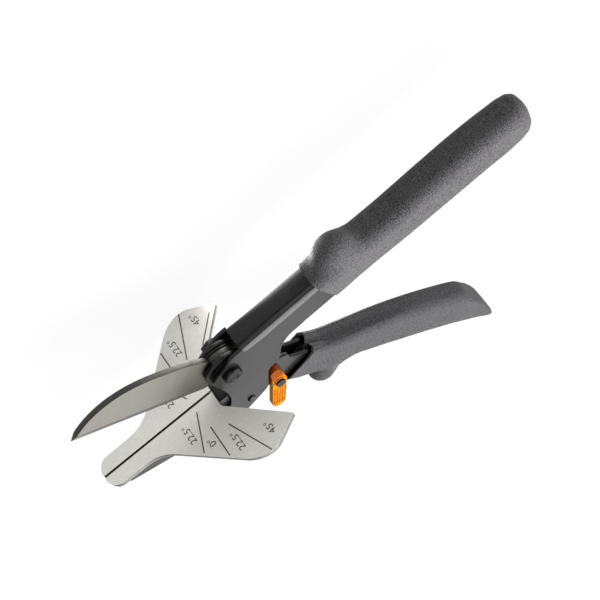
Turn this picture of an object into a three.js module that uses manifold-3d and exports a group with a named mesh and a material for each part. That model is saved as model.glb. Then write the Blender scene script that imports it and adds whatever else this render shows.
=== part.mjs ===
// Mitre shears: a cutting blade on one lever closes onto a mitre anvil on the other.
// Millimetres. The pivot runs along +Z, the handle ends lie along +X and +Y is square to the anvil's face.
// The blade lever is drawn with the shears closed, then its group is turned open about the pivot.
import * as THREE from 'three';
import { mergeVertices } from 'three/addons/utils/BufferGeometryUtils.js';
import Module from 'manifold-3d';

const wasm = await Module();
wasm.setup();

// Driving sizes
const openDegrees = 37;
const latchSwingDegrees = 25;
const sheet = 1.8;
const anvilHalf = 7.5;
const bladeLeverHalf = 4.6;
const runningGap = 0.15;
const fitGap = 0.3;
const holeGap = 0.2;
const weldGap = 0.05;
const overrun = 1;
const anvilFace = -15.7;
const anvilThick = 3.2;
const bladeThick = 3;
const bladeReach = 77.4;
const bladeDeep = 27;
const edgeSink = 0.9;
const handleTilt = 3;
const roundSides = 26;
const smallSides = 14;
const socketShare = 0.85;
const chamferShare = 0.3;
const cornerSteps = 5;
const bladeSteps = 16;
const bendSteps = 6;
const planSteps = 6;
const gripRings = 32;
const fullShare = 0.98;

// Anvil lever: channel, head plates and jaw
const channelTop = 11.6;
const channelFoot = -7.2;
const channelFront = 11.7;
const channelTaper = 62;
const channelRear = 158;
const tangTop = 8.6;
const tangFoot = -5.4;
const tangHalf = 6;
const channelBend = 4.8;
const headReach = 40;
const jawReach = 72;
const jawTipDeep = 2.6;
const jawHeelDeep = 23.2;
const jawHeel = 15;
const jawRelief = 17.3;
const reliefDeep = 5.5;
const stopX = -4.2;
const stopY = -33.3;
const stopRadius = 1.8;
const stopHead = 2.1;
const stopHeadThick = 1.2;

// Mitre anvil
const tongueReach = 80.6;
const tongueHalf = 8.2;
const tongueRound = 7.6;
const shoulderX = -52;
const wingHalf = 43.2;
const wingFrontX = -16.5;
const wingMidX = -6;
const wingRearX = 10.6;
const wingRearZ = 35;
const notchX = -15.3;
const notchHalf = 9.1;
const cornerRound = 0.9;
const wingRound = 6;
const shoulderRound = 9;
const grooveWide = 1.2;
const grooveDeep = 1.2;
const supportTipDeep = 2.2;
const supportHeelDeep = 21.6;
const supportFront = 70;
const supportRear = 9;
const screwRadius = 1.3;
const screwHeadRadius = 2.2;
const screwHeadThick = 2;
const screwSeat = 3;
const screwSideZ = 2.7;
const screwBite = 2.4;
const screwFrontX = -60;
const screwRearX = -36;

// Pivot
const boltRadius = 3.9;
const boltHeadRadius = 4.8;
const boltHeadThick = 2.5;
const sleeveRadius = 5;
const washerRadius = 9;
const washerThick = 0.8;
const nutFlat = 10;
const nutThick = 2.6;
const nutWasherThick = 0.8;
const nutWasherRadius = 6;
const boltTail = 0.4;

// Blade lever
const headRadius = 11.8;
const spacerRadius = 11;
const rootRadius = 10.4;
const rivetRadius = 1.6;
const rivetAX = -7.4;
const rivetAY = 2.6;
const rivetBX = 7.2;
const rivetBY = -2.8;
const edgeThick = 0.3;
const bevelRise = 4.5;
const heelX = -7;
const leverReach = 38.2;
const leverFoot = -29.4;
const leverTop = -12.2;
const webFront = 43;
const leverRear = 134;
const leverRearTop = -20;
const leverRearFoot = -33;

// Return spring and its seats
const seatX = 19.1;
const lowerSeatX = 18.5;
const lowerSeatY = -8.2;
const seatHalf = 3.1;
const seatDeep = 3;
const pegRadius = 1.3;
const pegTall = 2.2;
const springRadius = 2.45;
const wireRadius = 0.5;
const springCurls = 8;
const springStand = 0.35;
const leanShare = 0.34;
const wireSides = 5;
const stepsPerCurl = 8;

// Safety latch
const latchX = 31.05;
const latchY = -22.95;
const latchPinRadius = 2.2;
const latchPinHead = 2.5;
const latchPinHeadThick = 1.4;
const cheekInner = 5;
const cheekOuter = 8.3;
const noseReach = 9.4;
const noseRadius = 2.7;
const bossRadius = 3.9;
const thumbReach = 19;
const thumbRadius = 3.6;
const unlockedNose = 116.4;
const unlockedThumb = -79;
const hookThick = 3.2;
const hookHub = 4;
const hookHalf = 2.6;
const catchX = 37.5;
const catchY = -1;
const catchRadius = 2;
const lipThick = 2.5;
const lipShare = 0.27;
const shankShare = 0.62;
const ribCount = 5;
const ribDeep = 0.5;

// Grips
const upperGripFront = 58;
const upperGripEnd = 179.3;
const upperGripHalf = 9.4;
const upperGripDeep = 11.8;
const upperGripRise = 1.2;
const upperBumpX = 72.8;
const upperBumpY = 10.9;
const upperBumpRound = 11.4;
const upperBumpWide = 9.7;
const lowerGripFront = 49.4;
const lowerGripEnd = 170.5;
const lowerGripHalf = 7.3;
const lowerGripDeep = 11.6;
const lowerBumpX = 71.3;
const lowerBumpY = -25.5;
const lowerBumpRound = 7.1;
const lowerBumpWide = 6.8;
const lowerBaseX = 71;
const lowerBaseY = -13.5;
const lowerBaseLong = 13.5;
const lowerBaseRound = 6;
const lowerGripTilt = -12.5;

const rad = (degrees) => THREE.MathUtils.degToRad(degrees);

// Colour, roughness and metalness of each finish
const finish = (color, roughness, metalness) => () =>
  new THREE.MeshStandardMaterial({ color, roughness, metalness });
const blackPaint = finish(0x1b1b1d, 0.35, 0.2);
const vinyl = finish(0x55545a, 0.85, 0);
const anvilSteel = finish(0xcdcbc4, 0.4, 0.9);
const bladeSteel = finish(0x9b9890, 0.35, 0.9);
const darkSteel = finish(0x3a3a3c, 0.4, 0.8);
const zincSteel = finish(0x9fa3a8, 0.35, 0.9);
const latchPlastic = finish(0xf49016, 0.45, 0);

// Solid from a closed geometry
function solid(geometry) {
  const bare = geometry.clone();
  bare.deleteAttribute('normal');
  bare.deleteAttribute('uv');
  const merged = mergeVertices(bare, 1e-4);
  return new wasm.Manifold(new wasm.Mesh({
    numProp: 3,
    vertProperties: Float32Array.from(merged.attributes.position.array),
    triVerts: Uint32Array.from(merged.index.array),
  }));
}

// Geometry from a solid
function skin(body) {
  const mesh = body.getMesh();
  const geometry = new THREE.BufferGeometry();
  geometry.setAttribute('position', new THREE.BufferAttribute(Float32Array.from(mesh.vertProperties), 3));
  geometry.setIndex(new THREE.BufferAttribute(Uint32Array.from(mesh.triVerts), 1));
  geometry.computeVertexNormals();
  return geometry;
}

function piece(name, body, material) {
  const mesh = new THREE.Mesh(skin(body), material());
  mesh.name = name;
  return mesh;
}

const joined = (bodies) => bodies.reduce((whole, body) => whole.add(body));
const cutBy = (body, tools) => tools.reduce((rest, tool) => rest.subtract(tool), body);
const bothSides = (body) => body.add(body.mirror([0, 0, 1]));

// Shape through corners [x, y, radius]; a radius rounds its corner
function outline(corners) {
  const shape = new THREE.Shape();
  corners.forEach(([x, y, radius = 0], i) => {
    const here = new THREE.Vector2(x, y);
    const before = new THREE.Vector2(...corners[(i + corners.length - 1) % corners.length].slice(0, 2));
    const after = new THREE.Vector2(...corners[(i + 1) % corners.length].slice(0, 2));
    const toBefore = before.sub(here);
    const toAfter = after.sub(here);
    const reach = Math.min(radius, toBefore.length() * 0.49, toAfter.length() * 0.49);
    const start = here.clone().add(toBefore.setLength(reach));
    const end = here.clone().add(toAfter.setLength(reach));
    if (i === 0) shape.moveTo(start.x, start.y);
    else shape.lineTo(start.x, start.y);
    if (reach > 0) shape.quadraticCurveTo(here.x, here.y, end.x, end.y);
  });
  shape.closePath();
  return shape;
}

// Flat plate: a shape in the XY plane from z = low to z = high
function plate(shape, low, high, curveSegments = 6) {
  const geometry = new THREE.ExtrudeGeometry(shape, { depth: high - low, bevelEnabled: false, curveSegments });
  return solid(geometry.translate(0, 0, low));
}

// Round bar along Z
function bar(x, y, radius, low, high, sides = roundSides) {
  const geometry = new THREE.CylinderGeometry(radius, radius, high - low, sides);
  return solid(geometry.rotateX(rad(90)).translate(x, y, (low + high) / 2));
}

// Round bar along Y
function post(x, low, high, z, radius, sides = smallSides) {
  const geometry = new THREE.CylinderGeometry(radius, radius, high - low, sides);
  return solid(geometry.translate(x, (low + high) / 2, z));
}

function box(low, high) {
  const size = new THREE.Vector3(...high).sub(new THREE.Vector3(...low));
  const centre = new THREE.Vector3(...high).add(new THREE.Vector3(...low)).multiplyScalar(0.5);
  return solid(new THREE.BoxGeometry(size.x, size.y, size.z).translate(centre.x, centre.y, centre.z));
}

function circle(x, y, radius) {
  const shape = new THREE.Shape();
  shape.absarc(x, y, radius, 0, 2 * Math.PI);
  return shape;
}

// Values of a table of shares at a share t, on a smooth curve through its rows
function rowAt(table, t) {
  const last = table.length - 1;
  let k = 0;
  while (k < last - 1 && table[k + 1][0] < t) k += 1;
  const [p, a, b, q] = [table[Math.max(k - 1, 0)], table[k], table[k + 1], table[Math.min(k + 2, last)]];
  const w = (t - a[0]) / (b[0] - a[0]);
  return a.map((value, i) => THREE.MathUtils.lerp(
    value + w * (1 - w) * (1 - w) * (b[i] - p[i]) / 2,
    b[i] - w * w * (1 - w) * (q[i] - a[i]) / 2,
    w * w * (3 - 2 * w),
  ));
}

// Closed skin over rings of points, with a fan at each end
function loftOver(rings) {
  const count = rings[0].length;
  const points = rings.flat();
  const faces = [];
  for (let r = 0; r < rings.length - 1; r += 1) {
    for (let i = 0; i < count; i += 1) {
      const a = r * count + i;
      const b = r * count + (i + 1) % count;
      faces.push(a, b, a + count, b, b + count, a + count);
    }
  }
  const centre = (ring) => ring.reduce((sum, p) => sum.add(p), new THREE.Vector3()).divideScalar(count);
  const first = points.push(centre(rings[0])) - 1;
  const last = points.push(centre(rings[rings.length - 1])) - 1;
  const top = (rings.length - 1) * count;
  for (let i = 0; i < count; i += 1) {
    faces.push(first, (i + 1) % count, i);
    faces.push(last, top + i, top + (i + 1) % count);
  }
  const geometry = new THREE.BufferGeometry().setFromPoints(points);
  geometry.setIndex(faces);
  return solid(geometry);
}

// Section of a pressed channel across the handle, filled up to its open side
function channelSection(half, top, foot, bend) {
  return outline([[-half, foot], [-half, top, bend], [half, top, bend], [half, foot]]);
}

// Bar of a section running along X, the section's x across the handle and its y up
function runAlongX(shape, front, rear) {
  const geometry = new THREE.ExtrudeGeometry(shape, { depth: rear - front, bevelEnabled: false, curveSegments: bendSteps });
  return solid(geometry.rotateY(rad(90)).translate(front, 0, 0));
}

const anvilInner = anvilHalf - sheet;
const leverInner = bladeLeverHalf - sheet;
const jawTop = anvilFace - anvilThick;

// Side plates of the anvil lever, from the channel forwards round the pivot, as shares of the head's reach
const headFrontShares = [
  [1, 0.2], [0.293, 0.2], [0.293, 0.285, 0.02], [0.115, 0.27, 0.1], [-0.025, 0.19, 0.075], [-0.17, 0.122, 0.075],
  [-0.255, 0.04, 0.075], [-0.228, -0.15, 0.12], [-0.222, -0.36, 0.12], [-0.25, -0.51, 0.1], [-0.33, -0.655, 0.05],
];
// The rest, from under the jaw back to the channel, beside the latch
const headRearShares = [
  [-0.2, -0.985, 0.075], [-0.025, -0.93, 0.1], [0.1375, -0.8725, 0.0625], [0.28, -0.56, 0.025],
  [0.325, -0.51, 0.02], [0.465, -0.4925, 0.04], [0.5375, -0.405, 0.125], [0.61, -0.2575, 0.125],
  [0.76, -0.15, 0.125], [1, -0.135],
];

const scaled = (shares, size) => shares.map((row) => row.map((share) => share * size));

const headOutline = [
  ...scaled(headFrontShares, headReach),
  [-jawRelief, jawTop - reliefDeep, cornerRound], [-jawRelief, jawTop, cornerRound],
  [-jawReach, jawTop, cornerRound], [-jawReach, jawTop - jawTipDeep, cornerRound],
  [-jawHeel, jawTop - jawHeelDeep, wingRound],
  ...scaled(headRearShares, headReach),
];

// Anvil lever's channel filled up, grown by a clearance: full size up to the taper, then the tang
function channelBlock(front, grow) {
  const thin = sheet / 2;
  const section = channelSection(anvilHalf + grow, channelTop + grow, channelFoot - grow, channelBend + grow);
  const tang = channelSection(tangHalf + grow, tangTop + grow, tangFoot - grow, channelBend + grow);
  return joined([
    runAlongX(section, front, channelTaper),
    joined([runAlongX(section, channelTaper - thin, channelTaper), runAlongX(tang, channelRear - thin, channelRear + grow)])
      .hull(),
  ]).rotate([0, 0, handleTilt]);
}

function upperHandle() {
  const front = channelFront - sheet;
  const hollow = channelBlock(front, -sheet).add(channelBlock(front, -sheet).translate([0, -2 * sheet, 0]));
  const open = hollow.add(runAlongX(channelSection(tangHalf - sheet, 0, channelFoot * 2, 0), front, channelRear + sheet));
  const channel = channelBlock(channelFront, 0).subtract(open);
  const sides = bothSides(plate(outline(headOutline), anvilInner, anvilHalf));
  return cutBy(joined([channel, sides]), [
    bar(0, 0, boltRadius + holeGap, -anvilHalf * 2, anvilHalf * 2),
    bar(stopX, stopY, stopRadius + holeGap, -anvilHalf * 2, anvilHalf * 2, smallSides),
  ]);
}

// Mitre anvil: half its plan from the tongue's tip to the rear notch, [x, z, radius]
const anvilHalfPlan = [
  [-tongueReach, tongueHalf / 2, tongueRound / 2], [-tongueReach + tongueRound / 2, tongueHalf, tongueRound / 2],
  [shoulderX, tongueHalf, shoulderRound], [wingFrontX, wingHalf - cornerRound * 2, wingRound],
  [wingMidX, wingHalf + cornerRound, shoulderRound], [wingRearX, wingRearZ, cornerRound],
  [notchX, notchHalf, cornerRound],
];

function anvilPlate() {
  const mirrored = anvilHalfPlan.map(([x, z, radius]) => [x, -z, radius]).reverse();
  const geometry = new THREE.ExtrudeGeometry(outline([...anvilHalfPlan, ...mirrored]), {
    depth: anvilThick, bevelEnabled: false, curveSegments: planSteps,
  });
  const blank = solid(geometry.rotateX(rad(90)).translate(0, anvilFace, 0));
  const groove = box([-tongueReach - overrun, anvilFace - grooveDeep, -grooveWide / 2],
    [notchX + overrun, anvilFace + overrun, grooveWide / 2]);
  const holes = screwPlaces().map(([x, z]) =>
    post(x, jawTop - overrun, jawTop + screwBite + holeGap, z, screwRadius + holeGap));
  return cutBy(blank, [groove, ...holes]);
}

const screwPlaces = () => [
  [screwFrontX, screwSideZ], [screwFrontX, -screwSideZ], [screwRearX, screwSideZ], [screwRearX, -screwSideZ],
];

// Wedge between the jaw's plates, with a counterbore for each screw
function anvilSupport() {
  const bed = plate(outline([
    [-supportFront, jawTop], [-supportRear, jawTop], [-supportRear, jawTop - supportHeelDeep, cornerRound],
    [-supportFront, jawTop - supportTipDeep],
  ]), -anvilInner, anvilInner);
  return cutBy(bed, screwPlaces().flatMap(([x, z]) => [
    post(x, jawTop - supportHeelDeep, jawTop + overrun, z, screwRadius + holeGap),
    post(x, jawTop - supportHeelDeep, jawTop - screwSeat, z, screwHeadRadius + holeGap),
  ]));
}

function anvilScrew([x, z]) {
  const seat = jawTop - screwSeat;
  const head = post(x, seat - screwHeadThick, seat, z, screwHeadRadius);
  const socket = post(x, seat - screwHeadThick - overrun, seat - screwHeadThick / 2, z, screwRadius * socketShare, 6);
  return head.add(post(x, seat - screwHeadThick / 2, jawTop + screwBite, z, screwRadius)).subtract(socket);
}

// Round part about the pivot from a half profile of [radius, z]
function turned(profile) {
  const points = profile.map(([radius, z]) => new THREE.Vector2(radius, z));
  return solid(new THREE.LatheGeometry(points, roundSides).rotateX(rad(90)));
}

function ring(inner, outer, low, high) {
  return turned([[inner, low], [outer, low], [outer, high], [inner, high], [inner, low]]);
}

const nutSeat = anvilHalf + nutWasherThick;

function pivotBolt() {
  const tail = -nutSeat - nutThick - boltTail;
  const top = anvilHalf + boltHeadThick;
  const chamfer = boltHeadThick * chamferShare;
  return turned([[0, tail], [boltRadius, tail], [boltRadius, anvilHalf], [boltHeadRadius, anvilHalf],
    [boltHeadRadius, top - chamfer], [boltHeadRadius - chamfer, top], [0, top]]);
}

function pivotNut() {
  const hex = new THREE.CylinderGeometry(nutFlat / Math.sqrt(3), nutFlat / Math.sqrt(3), nutThick, 6);
  const blank = solid(hex.rotateX(rad(90)).translate(0, 0, -nutSeat - nutThick / 2));
  return blank.subtract(bar(0, 0, boltRadius + holeGap, -nutSeat * 3, nutSeat));
}

function stopPin() {
  return joined([
    bar(stopX, stopY, stopRadius, -anvilHalf, anvilHalf, smallSides),
    bar(stopX, stopY, stopHead, anvilHalf, anvilHalf + stopHeadThick, smallSides),
    bar(stopX, stopY, stopHead, -anvilHalf - stopHeadThick, -anvilHalf, smallSides),
  ]);
}

// Blade with its root about the pivot: the straight edge, the heel and the curved spine
const rootShares = { heelX: -0.052, heelY: -0.137, neckX: -0.142, neckY: 0.09, crownX: -0.24, spineX: -0.5,
  tipX: -0.885 };

const edgeY = anvilFace - edgeSink;

function blade() {
  const shape = new THREE.Shape();
  const crown = edgeY + bladeDeep;
  const at = (share) => share * bladeReach;
  shape.moveTo(-bladeReach, edgeY);
  shape.lineTo(heelX, edgeY);
  shape.lineTo(at(rootShares.heelX), at(rootShares.heelY));
  shape.lineTo(0, 0);
  shape.lineTo(at(rootShares.neckX), at(rootShares.neckY));
  shape.quadraticCurveTo(at(rootShares.crownX), crown, at(rootShares.spineX), crown);
  shape.quadraticCurveTo(at(rootShares.tipX), crown, -bladeReach, edgeY);
  const half = bladeThick / 2;
  const above = crown + overrun;
  const wedge = outline([[-half, above], [-half, edgeY + bevelRise], [-edgeThick / 2, edgeY],
    [edgeThick / 2, edgeY], [half, edgeY + bevelRise], [half, above]]);
  const root = bar(0, 0, rootRadius, -half, half);
  const blank = plate(shape, -half, half, bladeSteps).intersect(
    runAlongX(wedge, -bladeReach - overrun, rootRadius + overrun));
  return cutBy(blank.add(root), bladeHoles());
}

const bladeHoles = () => [
  bar(0, 0, sleeveRadius + fitGap, -anvilHalf, anvilHalf),
  bar(rivetAX, rivetAY, rivetRadius + holeGap, -anvilHalf, anvilHalf, smallSides),
  bar(rivetBX, rivetBY, rivetRadius + holeGap, -anvilHalf, anvilHalf, smallSides),
];

const bladeSpacer = (side) => cutBy(
  side > 0 ? bar(0, 0, spacerRadius, bladeThick / 2, leverInner) : bar(0, 0, spacerRadius, -leverInner, -bladeThick / 2),
  bladeHoles(),
);

// Side plates of the blade lever as shares of its reach: shoulder, tab, then the foot by the latch up to the stop
const leverTopShares = [
  [0.196, 0.25, 0.08], [0.38, -0.026, 0.08], [0.628, -0.27, 0.1], [0.81, -0.22, 0.03], [0.9, -0.207, 0.03],
  [0.955, -0.29, 0.03],
];
const leverFootShares = [
  [0.785, -0.738, 0.08], [0.628, -0.785, 0.05], [0.51, -0.767, 0.02], [0.453, -0.668, 0.026],
  [0.353, -0.576, 0.08], [0.105, -0.43, 0.1], [-0.115, -0.29],
];

const leverOutline = [
  ...scaled(leverTopShares, leverReach), [leverReach, leverTop, cornerRound], [leverRear, leverRearTop, cornerRound],
  [leverRear, leverRearFoot, cornerRound], [webFront - cornerRound, leverFoot, cornerRound],
  ...scaled(leverFootShares, leverReach),
];

function lowerHandle() {
  const wall = plate(outline(leverOutline), leverInner, bladeLeverHalf).add(
    bar(0, 0, headRadius, leverInner, bladeLeverHalf));
  const web = plate(outline([
    [webFront, leverFoot], [webFront + sheet / 2, leverFoot + sheet], [leverRear, leverRearFoot + sheet],
    [leverRear, leverRearFoot],
  ]), -leverInner, leverInner);
  const seat = bar(lowerSeatX, lowerSeatY, pegRadius + holeGap, -anvilHalf, anvilHalf, smallSides);
  return cutBy(joined([bothSides(wall), web]), [
    ...bladeHoles(), seat, bar(latchX, latchY, latchPinRadius + holeGap, -anvilHalf, anvilHalf, smallSides),
  ]);
}

// Seat of the return spring on the blade lever: a cross pin with a flat saddle and a peg
function springSeatLower() {
  const pin = bar(lowerSeatX, lowerSeatY, pegRadius, -bladeLeverHalf, bladeLeverHalf, smallSides);
  const top = lowerSeatY + seatDeep;
  const saddle = box([lowerSeatX - seatHalf, lowerSeatY - seatDeep / 2, -leverInner + holeGap],
    [lowerSeatX + seatHalf, top, leverInner - holeGap]);
  return joined([pin, saddle, post(lowerSeatX, top - overrun, top + pegTall, 0, pegRadius)]);
}

// Seat of the return spring under the anvil lever's web
const seatLow = channelTop - sheet - weldGap - seatDeep;

function springSeatUpper() {
  const half = anvilInner - channelBend / 2;
  return joined([
    box([seatX - seatHalf, seatLow, -half], [seatX + seatHalf, seatLow + seatDeep, half]),
    post(seatX, seatLow - pegTall, seatLow + overrun, 0, pegRadius),
  ]).rotate([0, 0, handleTilt]);
}

// Coil spring between the two seats, as one unbroken tube; its ends stand off the seats
function returnSpring() {
  const upright = new THREE.Vector3(0, 0, 1);
  const foot = new THREE.Vector3(lowerSeatX, lowerSeatY + seatDeep, 0).applyAxisAngle(upright, rad(-openDegrees));
  const head = new THREE.Vector3(seatX, seatLow, 0).applyAxisAngle(upright, rad(handleTilt));
  const along = head.clone().sub(foot).normalize();
  const stand = wireRadius + springStand;
  foot.addScaledVector(along, stand + springRadius * leanShare);
  head.addScaledVector(along, -stand);
  const side = upright;
  const front = along.clone().cross(side);
  const steps = springCurls * stepsPerCurl;
  const route = Array.from({ length: steps + 1 }, (_, i) => {
    const turn = 2 * Math.PI * i / stepsPerCurl;
    return foot.clone().lerp(head, i / steps)
      .addScaledVector(front, springRadius * Math.cos(turn))
      .addScaledVector(side, springRadius * Math.sin(turn));
  });
  const pitch = head.distanceTo(foot) / springCurls;
  console.log(`return spring: least gap between curls ${(pitch - 2 * wireRadius).toFixed(2)} mm`);
  const rings = route.map((point, i) => {
    const turn = 2 * Math.PI * i / stepsPerCurl;
    const out = front.clone().multiplyScalar(Math.cos(turn)).addScaledVector(side, Math.sin(turn));
    return Array.from({ length: wireSides }, (_, k) => {
      const angle = 2 * Math.PI * k / wireSides;
      return point.clone().addScaledVector(out, wireRadius * Math.cos(angle))
        .addScaledVector(along, wireRadius * Math.sin(angle));
    });
  });
  return loftOver(rings);
}

const catchBar = () => bar(catchX, catchY, catchRadius, -anvilInner, anvilInner, smallSides);

// The latch is drawn about its own pin, locked with the shears closed
const polar = (degrees, reach) => [reach * Math.cos(rad(degrees)), reach * Math.sin(rad(degrees))];
const lockedNose = unlockedNose - latchSwingDegrees;
const lockedThumb = unlockedThumb - latchSwingDegrees;

// Tapered link between two round ends
function link([ax, ay], ar, [bx, by], br, low, high) {
  const ends = [bar(ax, ay, ar, low, high), bar(bx, by, br, low, high)];
  return joined(ends).hull();
}

// Orange thumb piece outside the near plate, ribbed along its thumb end
function latchLever() {
  const nose = polar(lockedNose, noseReach);
  const thumb = polar(lockedThumb, thumbReach);
  const cheek = joined([
    link([0, 0], bossRadius, nose, noseRadius, cheekInner, cheekOuter),
    link([0, 0], bossRadius, thumb, thumbRadius, cheekInner, cheekOuter),
  ]);
  const [tx, ty] = polar(lockedThumb, 1);
  const start = bossRadius + thumbRadius / 2;
  const ribs = Array.from({ length: ribCount }, (_, i) => {
    const across = (i - (ribCount - 1) / 2) * (2 * thumbRadius / ribCount);
    const near = [tx * start - ty * across, ty * start + tx * across];
    const far = [tx * thumbReach - ty * across, ty * thumbReach + tx * across];
    return link(near, ribDeep, far, ribDeep, cheekOuter - ribDeep, cheekOuter + overrun);
  });
  return cutBy(cheek, [bar(0, 0, latchPinRadius + holeGap, -anvilHalf, cheekOuter + overrun, smallSides), ...ribs]);
}

// Steel hook on the latch's pin: hub, shank and a lip that reaches over the catch bar
function latchHook() {
  const half = hookThick / 2;
  const catchAway = Math.hypot(catchX - latchX, catchY - latchY);
  const catchAt = THREE.MathUtils.radToDeg(Math.atan2(catchY - latchY, catchX - latchX));
  const lipAway = catchAway + catchRadius + fitGap + lipThick / 2;
  const lean = THREE.MathUtils.radToDeg((catchRadius + fitGap + hookHalf) / catchAway);
  const tip = polar(catchAt + lean, lipAway);
  const lip = polar(catchAt - lean * lipShare, lipAway);
  return joined([
    link([0, 0], hookHub, tip, hookHalf * shankShare, -half, half),
    link(tip, lipThick / 2, lip, lipThick / 2, -half, half),
  ]).subtract(bar(0, 0, latchPinRadius + holeGap, -anvilHalf, anvilHalf, smallSides));
}

const pinSeat = cheekOuter + weldGap;

// The latch's pin turns with it in the blade lever's plates
function latchPin() {
  return joined([
    bar(0, 0, latchPinRadius, -bladeLeverHalf - latchPinHeadThick - fitGap, pinSeat + latchPinHeadThick, smallSides),
    bar(0, 0, latchPinHead, pinSeat, pinSeat + latchPinHeadThick),
  ]);
}

function latchPinClip() {
  const seat = bladeLeverHalf + runningGap;
  return ring(latchPinRadius + weldGap, latchPinHead + holeGap, -seat - latchPinHeadThick / 2, -seat);
}

// One ring of a grip's section: a rectangle with round corners, its top side pressed in by a valley
function gripRing(centre, tilt, up, down, half, round, footRound, valley) {
  const across = new THREE.Vector3(0, 0, 1);
  const rise = new THREE.Vector3(-Math.sin(tilt), Math.cos(tilt), 0);
  const ring = [];
  const add = (z, y) => ring.push(centre.clone().addScaledVector(across, z).addScaledVector(rise, y));
  [[-1, 1], [1, 1], [1, -1], [-1, -1]].forEach(([zSide, ySide], corner) => {
    const reach = ySide > 0 ? up : down;
    const radius = Math.min((ySide > 0 ? round : footRound) * half, reach * fullShare);
    if (corner === 1) add(0, up - valley);
    if (corner === 3) add(0, -down);
    for (let i = 0; i <= cornerSteps; i += 1) {
      const turn = Math.PI - Math.PI / 2 * (corner + i / cornerSteps);
      add(zSide * (half - radius) + radius * Math.cos(turn), ySide * (reach - radius) + radius * Math.sin(turn));
    }
  });
  return ring;
}

// Upper grip: [share of its length, centre, up, down, half, upper corner, lower corner, lean in degrees]
const upperGripShares = [
  [0, 0.06, 0.89, 0.94, 0.96, 0.7, 0.5, 12], [0.03, 0.06, 0.91, 0.94, 0.97, 0.7, 0.5, 12],
  [0.1, 0.06, 0.93, 0.94, 0.97, 0.71, 0.56, 9], [0.2, 0.01, 0.94, 0.94, 0.97, 0.72, 0.66, 4],
  [0.35, -0.07, 0.96, 0.96, 0.98, 0.73, 0.73, 0], [0.55, -0.06, 0.98, 0.98, 1, 0.73, 0.73, 0],
  [0.75, -0.07, 0.99, 0.99, 1, 0.73, 0.73, 0], [0.88, -0.15, 0.97, 0.96, 0.99, 0.76, 0.76, -2],
  [0.94, -0.16, 0.92, 0.9, 0.95, 0.8, 0.8, -5], [0.975, -0.14, 0.78, 0.77, 0.83, 0.85, 0.85, -7],
  [0.993, -0.12, 0.54, 0.53, 0.58, 0.9, 0.9, -8], [1, -0.11, 0.28, 0.28, 0.3, 0.95, 0.95, -8],
];
// Lower grip: the same columns and the depth of the valley on its open side
const lowerGripShares = [
  [0, -0.16, 0.12, 1.74, 0.96, 0.5, 0.5, -22.5, 0.34], [0.065, -0.24, 0.3, 1.63, 0.97, 0.5, 0.5, -20, 0.3],
  [0.124, -0.3, 0.46, 1.42, 0.98, 0.5, 0.52, -15, 0.26],
  [0.222, -0.36, 0.8, 0.95, 0.98, 0.58, 0.6, -8, 0.19], [0.37, -0.15, 0.95, 0.92, 1, 0.66, 0.66, -2, 0.08],
  [0.517, 0.04, 1, 0.98, 1, 0.68, 0.68, 0, 0], [0.694, 0.18, 1, 0.98, 1, 0.68, 0.68, 2, 0],
  [0.812, 0.2, 1, 0.98, 0.98, 0.68, 0.68, 12, 0], [0.9, 0.13, 0.95, 1.06, 0.96, 0.7, 0.68, 34, 0],
  [0.96, 0.01, 1.1, 1.22, 0.95, 0.72, 0.68, 49, 0], [0.977, -0.06, 1.1, 1.17, 0.91, 0.76, 0.72, 50, 0],
  [0.991, -0.11, 1.02, 1.08, 0.82, 0.82, 0.8, 50, 0], [1, -0.14, 0.88, 0.92, 0.66, 0.9, 0.88, 50, 0],
];
const gripStationShares = Array.from({ length: gripRings + 1 }, (_, i) => i / gripRings).concat([0.978, 0.985, 0.992])
  .sort((a, b) => a - b);

function gripBody(shares, front, end, half, deep, rise) {
  return loftOver(gripStationShares.map((t) => {
    const [, centre, up, down, wide, round, footRound, lean, valley = 0] = rowAt(shares, t);
    const place = new THREE.Vector3(THREE.MathUtils.lerp(front, end, t), rise + centre * deep, 0);
    return gripRing(place, rad(lean), up * deep, down * deep, wide * half, round, footRound, valley * deep);
  }));
}

// Finger bump: an ellipsoid half sunk in the grip
function bump(x, y, long, round, wide) {
  const geometry = new THREE.SphereGeometry(1, roundSides, smallSides);
  return solid(geometry.scale(long, round, wide).translate(x, y, 0));
}

function upperGrip() {
  const body = gripBody(upperGripShares, upperGripFront, upperGripEnd, upperGripHalf, upperGripDeep, upperGripRise);
  const knob = bump(upperBumpX, upperBumpY, upperBumpRound, upperBumpRound, upperBumpWide);
  return body.add(knob).rotate([0, 0, handleTilt]).subtract(channelBlock(upperGripFront / 2, fitGap));
}

function lowerGrip() {
  const body = gripBody(lowerGripShares, lowerGripFront, lowerGripEnd, lowerGripHalf, lowerGripDeep, 0);
  const knob = joined([
    bump(lowerBumpX, lowerBumpY, lowerBumpRound, lowerBumpRound, lowerBumpWide),
    bump(lowerBaseX, lowerBaseY, lowerBaseLong, lowerBaseRound, lowerBumpWide),
  ]).hull();
  const pocket = outline([
    [webFront / 2, leverTop + fitGap], [leverReach, leverTop + fitGap], [leverRear + fitGap, leverRearTop + fitGap],
    [leverRear + fitGap, leverRearFoot - fitGap], [webFront - cornerRound, leverFoot - fitGap],
    [webFront / 2, leverFoot - fitGap],
  ]);
  return body.add(knob).rotate([0, 0, lowerGripTilt]).subtract(
    plate(pocket, -bladeLeverHalf - fitGap, bladeLeverHalf + fitGap));
}

// Scene graph
const shears = new THREE.Group();
const bladeLever = new THREE.Group();
const latch = new THREE.Group();
const washerLow = bladeLeverHalf + runningGap;

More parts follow.
